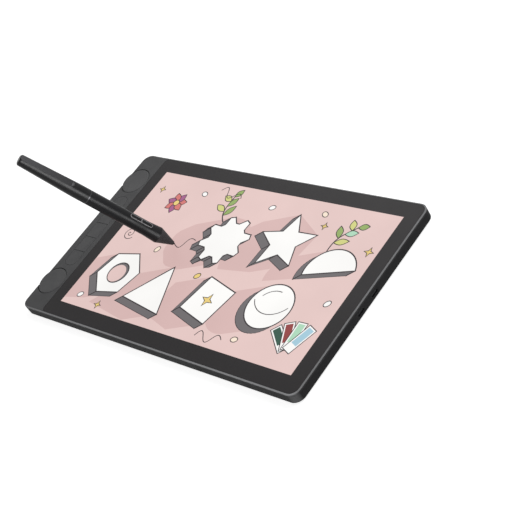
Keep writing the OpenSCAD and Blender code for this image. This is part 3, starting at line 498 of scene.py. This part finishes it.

# Edge colours are highlights painted on slopes and round the pen's buttons
FINISHES = {
    # Wall colours are painted shade, and the corner grey a painted highlight
    "case_plastic": casing_plastic(
        "case_plastic", top=srgb(48, 48, 49), wall=srgb(45, 45, 46), corner=CORNER_HIGHLIGHT_GREY, specular=0.04),
    "strip_plastic": casing_plastic(
        "strip_plastic", top=srgb(73, 73, 74), wall=srgb(40, 40, 41), corner=CORNER_HIGHLIGHT_GREY, specular=0.15,
        edge_highlight=srgb(148, 148, 150)),
    "key_plastic": moulded_plastic(
        "key_plastic", srgb(74, 74, 75), roughness=0.55, specular=0.15, grain=0.25 * MM, edge_highlight=srgb(80, 80, 82)),
    "dial_plastic": moulded_plastic(
        "dial_plastic", srgb(76, 76, 77), roughness=0.5, specular=0.15, grain=0.25 * MM, edge_highlight=srgb(84, 84, 86)),
    "screen_glass": etched_glass("screen_glass", srgb(46, 44, 45)),
    "tape": rubber("tape", srgb(22, 22, 22)),
    "panel_glass": etched_glass("panel_glass", srgb(30, 30, 34)),
    "clear_acrylic": light_guide("clear_acrylic", srgb(246, 246, 242)),
    "steel_sheet": metal("steel_sheet", srgb(196, 197, 199), roughness=0.32),
    "circuit_board": circuit_board("circuit_board", mask=srgb(18, 74, 44), trace=srgb(40, 112, 66)),
    "chip_plastic": moulded_plastic("chip_plastic", srgb(30, 30, 32), roughness=0.5),
    "connector_plastic": moulded_plastic(
        "connector_plastic", srgb(216, 212, 198), roughness=0.45, specular=0.5),
    "flex_film": cable_film("flex_film", film=srgb(188, 126, 52), conductor=srgb(214, 160, 84)),
    "rubber": rubber("rubber", srgb(42, 42, 43)),
    "socket_steel": metal("socket_steel", srgb(52, 52, 54), roughness=0.4),
    "screw_steel": metal("screw_steel", srgb(168, 168, 172), roughness=0.35, stretch=ALL_WAYS),
    "pen_plastic": pen_plastic("pen_plastic", srgb(30, 30, 32), roughness=0.32, specular=0.11),
    # Painted sheen on the pen's flat, and a painted highlight at its front end
    "pen_rear_plastic": barrel_with_flat(
        "pen_rear_plastic", srgb(18, 18, 20), flat_end_highlight=srgb(104, 104, 106), flat_front_sheen=srgb(46, 46, 48),
        flat_tail_sheen=srgb(71, 71, 74)),
    # Edge colour: highlight painted round the pen's buttons
    "pen_button_plastic": button_plastic("pen_button_plastic", srgb(27, 27, 29), edge_highlight=srgb(150, 150, 152)),
    "pen_nose_plastic": pen_plastic("pen_nose_plastic", srgb(63, 63, 65), roughness=0.5, specular=0.1),
    "pen_ring_metal": metal("pen_ring_metal", srgb(62, 62, 64), roughness=0.3, stretch=ALL_WAYS),
    "nib_plastic": moulded_plastic("nib_plastic", srgb(24, 24, 25), roughness=0.5),
    "copper_wire": winding("copper_wire", srgb(204, 138, 98)),
    "ferrite": metal("ferrite", srgb(62, 62, 64), roughness=0.6, stretch=ALL_WAYS),
    "switch_plastic": moulded_plastic("switch_plastic", srgb(178, 178, 172), roughness=0.5, specular=0.5),
}

# Nodes that look different from the rest of their material slot
OWN_FINISH = {
    "usb_port_upper": "socket_steel",
    "usb_port_lower": "socket_steel",
    "pen_rear_barrel": "pen_rear_plastic",
    "pen_end_cap": "pen_rear_plastic",
    "pen_button_front": "pen_button_plastic",
    "pen_button_rear": "pen_button_plastic",
}

for subpart in frame["record"]["subparts"]:
    mesh = frame["nodes"][subpart["node"]].data
    mesh.materials.clear()
    mesh.materials.append(FINISHES[OWN_FINISH.get(subpart["node"], subpart["material_slot"])])


# Outlines on the screen, as lists of flat points in millimetres

def polar(radius, turn, squeeze=1.0):
    return Vector((radius * math.cos(turn), radius * squeeze * math.sin(turn)))


def ring(count, radius, start=0.0, squeeze=1.0):
    """Points round a circle or an ellipse."""
    return [polar(radius, start + math.tau * i / count, squeeze) for i in range(count)]


def arc(radius, start, end, steps):
    """Part of a circle, between two turns in degrees."""
    return [polar(radius, math.radians(start + (end - start) * i / steps)) for i in range(steps + 1)]


def star(tips, outer, inner):
    reach = (outer, inner)
    return [polar(reach[i % 2], math.pi / 2 + math.pi * i / tips) for i in range(2 * tips)]


def cog(teeth, outer, inner):
    """A wheel with flat teeth, each as wide as the gap beside it."""
    reach = (outer, outer, inner, inner)
    return [polar(reach[i % 4], math.tau * (i + 0.5) / (4 * teeth)) for i in range(4 * teeth)]


def rectangle(low_x, low_y, high_x, high_y):
    return [Vector(p) for p in ((low_x, low_y), (high_x, low_y), (high_x, high_y), (low_x, high_y))]


def leaf(length, width):
    """Pointed at both ends, from the origin along X."""
    shares = [i / LEAF_STEPS for i in range(LEAF_STEPS + 1)]
    upper = [Vector((length * s, width / 2 * math.sin(math.pi * s))) for s in shares]
    lower = [Vector((p.x, -p.y)) for p in reversed(upper[1:-1])]
    return upper + lower


def wave(length, height, bends, steps=40):
    """A line along X that swings less and less."""
    shares = [i / steps for i in range(steps + 1)]
    return [Vector((length * s, height * math.sin(math.pi * bends * s) * (1 - WAVE_FADE * s))) for s in shares]


def spiral(radius, turns, steps=60):
    shares = [i / steps for i in range(steps + 1)]
    return [polar(radius * s, math.tau * turns * s) for s in shares]


def placed(points, at, turn=0.0):
    """An outline, turned by some degrees and moved to a place."""
    c, s = math.cos(math.radians(turn)), math.sin(math.radians(turn))
    return [Vector((at[0] + c * p.x - s * p.y, at[1] + s * p.x + c * p.y)) for p in points]


def area(points):
    return sum(a.x * b.y - b.x * a.y for a, b in zip(points, points[1:] + points[:1])) / 2


def sideways(a, b):
    """Unit vector to the right of the way from a to b."""
    step = (b - a).normalized()
    return Vector((step.y, -step.x))


def mitre(first, second, width):
    """How far a corner moves when both of its sides move by a width."""
    middle = first + second
    if middle.length < TINY:
        return first * width
    middle.normalize()
    return middle * width * min(MITRE_LIMIT, 1 / max(TINY, middle.dot(first)))


def grown(points, width):
    """A closed outline, moved outwards by a width, or inwards if that is negative."""
    if area(points) < 0:
        points = points[::-1]
    count = len(points)
    normals = [sideways(points[i], points[(i + 1) % count]) for i in range(count)]
    return [p + mitre(normals[i - 1], normals[i], width) for i, p in enumerate(points)]


def ribbon(points, width):
    """The closed outline of an open line of that width."""
    normals = [sideways(a, b) for a, b in zip(points, points[1:])]
    joins = [normals[0], *[(a + b).normalized() for a, b in zip(normals, normals[1:])], normals[-1]]
    right = [p + n * width / 2 for p, n in zip(points, joins)]
    left = [p - n * width / 2 for p, n in zip(points, joins)]
    return right + left[::-1]


def turn_of(a, b, c):
    """Above 0 where the way from a by b to c turns left."""
    return (b[0] - a[0]) * (c[1] - a[1]) - (b[1] - a[1]) * (c[0] - a[0])


def convex_hull(points):
    ordered = sorted({(p.x, p.y) for p in points})
    half_lines = []
    for run in (ordered, ordered[::-1]):
        half = []
        for p in run:
            while len(half) > 1 and turn_of(half[-2], half[-1], p) <= 0:
                half.pop()
            half.append(p)
        half_lines += half[:-1]
    return [Vector(p) for p in half_lines]


# The picture: white solids from a drawing class, with sprigs, colour cards and loose marks

PICTURE_COLOURS = {
    "paper": srgb(230, 201, 197),
    "shade": srgb(217, 184, 181),
    "ink": srgb(58, 53, 56),
    "white": srgb(252, 251, 249),
    "side": srgb(112, 108, 110),
    "green": srgb(150, 176, 104),
    "lime": srgb(212, 212, 134),
    "pine": srgb(56, 92, 78),
    "mint": srgb(176, 218, 190),
    "sky": srgb(166, 204, 220),
    "brick": srgb(150, 70, 70),
    "coral": srgb(214, 122, 118),
    "plum": srgb(166, 98, 142),
    "sand": srgb(236, 208, 128),
    "cream": srgb(250, 232, 212),
}

# Solids: outline of the front, place from the picture's middle, turn in degrees
SOLIDS = {
    "nut": (ring(6, 26.0), (-106, -38), 12),
    "pyramid": (ring(3, 31.0, start=math.pi / 2), (-50, -48), -8),
    "cog": (cog(8, 27.0, 20.0), (-15, 22), 8),
    "cube": (rectangle(-19, -19, 19, 19), (16, -40), -14),
    "star": (star(5, 31.0, 14.5), (50, 34), 8),
    "ball": (ring(40, 23.0), (82, -30), 0),
    "dome": (arc(25.0, 0, 180, 28), (114, 14), 18),
}

# Loose marks: places, with the turn and colour of a pebble, the turn of a squiggle and the size of a spark
PEBBLES = [
    ((-130, -70), 30, "white"), ((-82, -4), 60, "cream"), ((10, 66), 20, "white"), ((70, 70), -30, "cream"),
    ((134, -14), 50, "white"), ((72, -68), 10, "cream"), ((-14, -20), 40, "sand"), ((-78, 66), -20, "white"),
]
SQUIGGLES = [((30, -75), 6), ((-62, 74), -10)]
SPARKS = [((-100, -75), 4.5), ((78, 58), 4.0), ((138, 42), 5.0), ((-134, 62), 4.0)]
SPARK_WAIST = 0.36

# Where the pen's nib stands on the picture
NIB_PLACE = (-66.0, 5.4)

layers = []


def paint(colour, points):
    layers.append((colour, points if area(points) > 0 else points[::-1]))


def paint_outlined(fill, points, line=LINE):
    paint("ink", grown(points, line / 2))
    paint(fill, grown(points, -line / 2))


def paint_line(points, width=THIN_LINE):
    paint("ink", ribbon(points, width))


def paint_shadow(points):
    far = [p + SHADOW_REACH for p in points]
    paint("shade", convex_hull(points + far))


def paint_block(points):
    """A white solid with that front, drawn out behind it."""
    pairs = list(zip(points, points[1:] + points[:1]))
    sides = [[a, b, b + BLOCK_DEPTH, a + BLOCK_DEPTH] for a, b in pairs]
    sides = [side for side in sides if abs(area(side)) > SMALLEST_SIDE]
    for side in sides:
        paint("ink", grown(side, LINE / 2))
    for side in sides:
        paint("side", side)
    for (a, b), (_, c) in zip(pairs, pairs[1:] + pairs[:1]):
        if (b - a).angle(c - b) > SHARP_CORNER:
            paint_line([b, b + BLOCK_DEPTH], LINE)
    paint_outlined("white", points)


def paint_sprig(at, turn, length, leaves, colours):
    """A bent stem with leaves on both sides, shorter towards its tip."""
    stem = placed(wave(length, height=5.0, bends=1.2), at, turn)
    paint_line(stem, LINE)
    for i in range(leaves):
        place = stem[int((i + 1.5) / (leaves + 1) * (len(stem) - 1))]
        side = LEAF_TURN if i % 2 else -LEAF_TURN
        blade = leaf(length=15.0 - i, width=6.5)
        paint_outlined(colours[i % len(colours)], placed(blade, place, turn + side), THIN_LINE)


def paint_flower(at, petals, colours):
    petal = leaf(length=12.5, width=7.5)
    for i in range(petals):
        paint_outlined(colours[i % len(colours)], placed(petal, at, 360 * i / petals + 15), THIN_LINE)
    paint_outlined("sand", placed(ring(20, 3.4), at), THIN_LINE)


def paint_cards(at, first_turn, step, colours):
    """A fan of white cards, each with a field of colour."""
    card = rectangle(-5, 2, 5, 30)
    field = rectangle(-3.4, 10, 3.4, 28.4)
    for i, colour in enumerate(colours):
        turn = first_turn + i * step
        paint_outlined("white", placed(card, at, turn), THIN_LINE)
        paint(colour, placed(field, at, turn))


def paint_details():
    """The hole in the nut, the curves on the ball and the spark on the cube."""
    _, nut_at, _ = SOLIDS["nut"]
    _, ball_at, _ = SOLIDS["ball"]
    _, cube_at, cube_turn = SOLIDS["cube"]
    paint_outlined("side", placed(ring(28, 11.5), nut_at))
    paint("paper", placed(ring(28, 9.9), Vector(nut_at) + Vector((-0.8, -1.0))))
    paint_line(placed(arc(22.0, -150, -30, 20), Vector(ball_at) + Vector((0, 14.0))))
    paint_line(placed(arc(16.0, 150, 80, 10), ball_at))
    paint_outlined("sand", placed(star(4, 7.0, 2.6), cube_at, cube_turn), THIN_LINE)


def paint_marks():
    """Pebbles, squiggles, a curl, sparks and the line that the pen is drawing."""
    for at, turn, colour in PEBBLES:
        paint_outlined(colour, placed(ring(24, 3.6, squeeze=0.72), at, turn), THIN_LINE)
    for at, turn in SQUIGGLES:
        paint_line(placed(wave(30.0, height=6.0, bends=3.0), at, turn))
    paint_line(placed(spiral(7.5, turns=1.8), (-130, 6), 40))
    for at, size in SPARKS:
        paint_outlined("sand", placed(star(4, size, size * SPARK_WAIST), at), THIN_LINE)
    drawn = [Vector((-p.x, p.y)) for p in wave(22.0, height=5.0, bends=2.0)]
    paint_line(placed(drawn, NIB_PLACE, 205))


def paint_picture(width, height):
    paint("paper", rectangle(-width / 2, -height / 2, width / 2, height / 2))
    fronts = [placed(points, at, turn) for points, at, turn in SOLIDS.values()]
    for front in fronts:
        paint_shadow(front)
    paint_sprig((-32, 40), 108, 34.0, 5, ("green", "lime"))
    paint_sprig((98, 34), 66, 36.0, 5, ("lime", "green", "mint"))
    paint_cards((126, -66), 50, -24, ("pine", "brick", "mint", "sky"))
    paint_flower((-104, 50), 7, ("coral", "plum"))
    for front in fronts:
        paint_block(front)
    paint_details()
    paint_marks()


def partition(painted):
    """Cuts overlapping outlines into flat triangles; each takes the colour painted last on the paper.

    The first outline is the border and the second one the paper.
    """
    corners, faces = [], []
    for _, points in painted:
        faces.append(list(range(len(corners), len(corners) + len(points))))
        corners.extend(points)
    cut = delaunay_2d_cdt(corners, [], faces, INSIDE_TRIANGLES, CUT_PRECISION)
    cut_corners, cut_faces, face_sources = cut[0], cut[2], cut[5]
    shown = [(face, max(sources) if 1 in sources else 0)
             for face, sources in zip(cut_faces, face_sources) if 0 in sources]
    return cut_corners, [(face, painted[top][0]) for face, top in shown]


# The cover glass: black border and picture in one flush sheet, with a fine bevel round its edge

def linked(name, data):
    """A new object in the scene."""
    thing = bpy.data.objects.new(name, data)
    bpy.context.scene.collection.objects.link(thing)
    return thing


def glass_outline(low, high, inset):
    """A rectangle with two sizes of rounded corners, the smaller ones beside the control strip."""
    points = []
    corners = [(high.x, low.y, -90, GLASS_CORNER), (high.x, high.y, 0, GLASS_CORNER),
               (low.x, high.y, 90, GLASS_STRIP_CORNER), (low.x, low.y, 180, GLASS_STRIP_CORNER)]
    for x, y, start, radius in corners:
        centre = Vector((x + (-radius if x == high.x else radius), y + (radius if y == low.y else -radius)))
        points += [centre + p for p in arc(radius - inset, start, start + 90, CORNER_STEPS)]
    return points


def add_top(model, centre, height):
    """The picture and its border, in faces of one colour each."""
    corners, faces = partition(layers)
    names = ["border", *PICTURE_COLOURS]
    top = [model.verts.new((*(Vector(c) * MM + centre), height)) for c in corners]
    for face, colour in faces:
        model.faces.new([top[i] for i in face]).material_index = names.index(colour)


def add_edge(model, levels):
    """Bevel, wall and back of the sheet, from its outlines at falling heights."""
    edge_rings = [[model.verts.new((*p, z)) for p in points] for points, z in levels]
    count = len(edge_rings[0])
    for above, below in zip(edge_rings, edge_rings[1:]):
        for i in range(count):
            model.faces.new((above[i], below[i], below[(i + 1) % count], above[(i + 1) % count]))
    model.faces.new(edge_rings[-1][::-1])


def make_screen_glass():
    low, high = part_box("cover_glass")
    picture_low, picture_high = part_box("shield_plate")
    centre = ((picture_low + picture_high) / 2).to_2d()
    size = (picture_high - picture_low) / MM
    outer = glass_outline(low, high, 0.0)
    inner = glass_outline(low, high, GLASS_BEVEL)
    layers.append(("border", [(p - centre) / MM for p in inner]))
    paint_picture(size.x, size.y)
    model = bmesh.new()
    add_top(model, centre, high.z)
    add_edge(model, ((inner, high.z), (outer, high.z - GLASS_BEVEL), (outer, low.z)))
    bmesh.ops.remove_doubles(model, verts=model.verts, dist=MERGE_DISTANCE)
    bmesh.ops.recalc_face_normals(model, faces=model.faces)
    bmesh.ops.dissolve_limit(
        model, angle_limit=FLAT_ANGLE, verts=model.verts, edges=model.edges, delimit={"MATERIAL"})
    mesh = bpy.data.meshes.new("screen_glass")
    model.to_mesh(mesh)
    model.free()
    mesh.materials.append(FINISHES["screen_glass"])
    for name, colour in PICTURE_COLOURS.items():
        mesh.materials.append(lit_picture("picture_" + name, colour))
    glass = linked("screen_glass", mesh)
    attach(glass, "tablet")
    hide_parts("cover_glass")


make_screen_glass()


# Floor, light and camera

def ray_is_seen(tree):
    """1 for rays from the camera, a mirror or glass, which show the plain backdrop."""
    path = tree.nodes.new("ShaderNodeLightPath")
    seen = path.outputs["Is Camera Ray"]
    for name in ("Is Glossy Ray", "Is Transmission Ray"):
        seen = calculated(tree, "MAXIMUM", seen, path.outputs[name])
    return seen


def looking(direction):
    """Turns a lamp or a camera in a direction."""
    return direction.to_track_quat("-Z", "Y")


def make_floor():
    material, tree, shader = new_material("floor", (FLOOR_ALBEDO,) * 3, roughness=0.9, specular=0.0)
    shader.inputs["Emission Color"].default_value = WHITE
    lift = remap(tree, ray_is_seen(tree), WHOLE, 0.0, FLOOR_LIFT)
    tree.links.new(lift, shader.inputs["Emission Strength"])
    half = FLOOR_SIZE / 2
    mesh = bpy.data.meshes.new("floor")
    corners = [(p.x, p.y, 0) for p in rectangle(-half, -half, half, half)]
    mesh.from_pydata(corners, [], [(0, 1, 2, 3)])
    mesh.materials.append(material)
    floor = linked("floor", mesh)


def make_world():
    world = bpy.data.worlds.new("studio")
    bpy.context.scene.world = world
    world.use_nodes = True
    tree = world.node_tree
    background = tree.nodes["Background"]
    background.inputs["Color"].default_value = WHITE
    strength = remap(tree, ray_is_seen(tree), WHOLE, AMBIENT, 1.0)
    tree.links.new(strength, background.inputs["Strength"])


def area_light(name, place, width, height, power, only_gloss=False):
    """A soft box that faces the object; one for the gloss only shows in reflections and lights nothing else."""
    light = bpy.data.lights.new(name, "AREA")
    light.shape = "ELLIPSE"
    light.size = width
    light.size_y = height
    light.energy = power
    lamp = linked(name, light)
    lamp.location = place
    lamp.rotation_mode = "QUATERNION"
    lamp.rotation_quaternion = looking(Vector(CAMERA_AIM) - Vector(place))
    lamp.visible_diffuse = not only_gloss


def make_camera():
    azimuth, elevation = math.radians(CAMERA_AZIMUTH), math.radians(CAMERA_ELEVATION)
    back = Vector((math.sin(azimuth) * math.cos(elevation), -math.cos(azimuth) * math.cos(elevation),
                   math.sin(elevation)))
    data = bpy.data.cameras.new("camera")
    data.lens = CAMERA_LENS
    data.sensor_width = CAMERA_SENSOR
    camera = linked("camera", data)
    camera.location = Vector(CAMERA_AIM) + back * CAMERA_DISTANCE
    camera.rotation_mode = "QUATERNION"
    camera.rotation_quaternion = looking(-back) @ Quaternion(UP, math.radians(CAMERA_ROLL))
    bpy.context.scene.camera = camera


make_floor()
make_world()
area_light("key_light", place=(0.4, 0.75, 0.95), width=1.0, height=1.0, power=9.4)
area_light("front_light", place=(0.55, -1.0, 0.35), width=0.8, height=0.4, power=2.4)
area_light("low_light", place=(1.28, -0.53, 0.3), width=1.1, height=0.58, power=20.0, only_gloss=True)
area_light("back_light", place=(-0.74, 0.88, 0.96), width=0.8, height=0.8, power=5.5, only_gloss=True)
make_camera()
bpy.context.scene.view_settings.view_transform = "Standard"
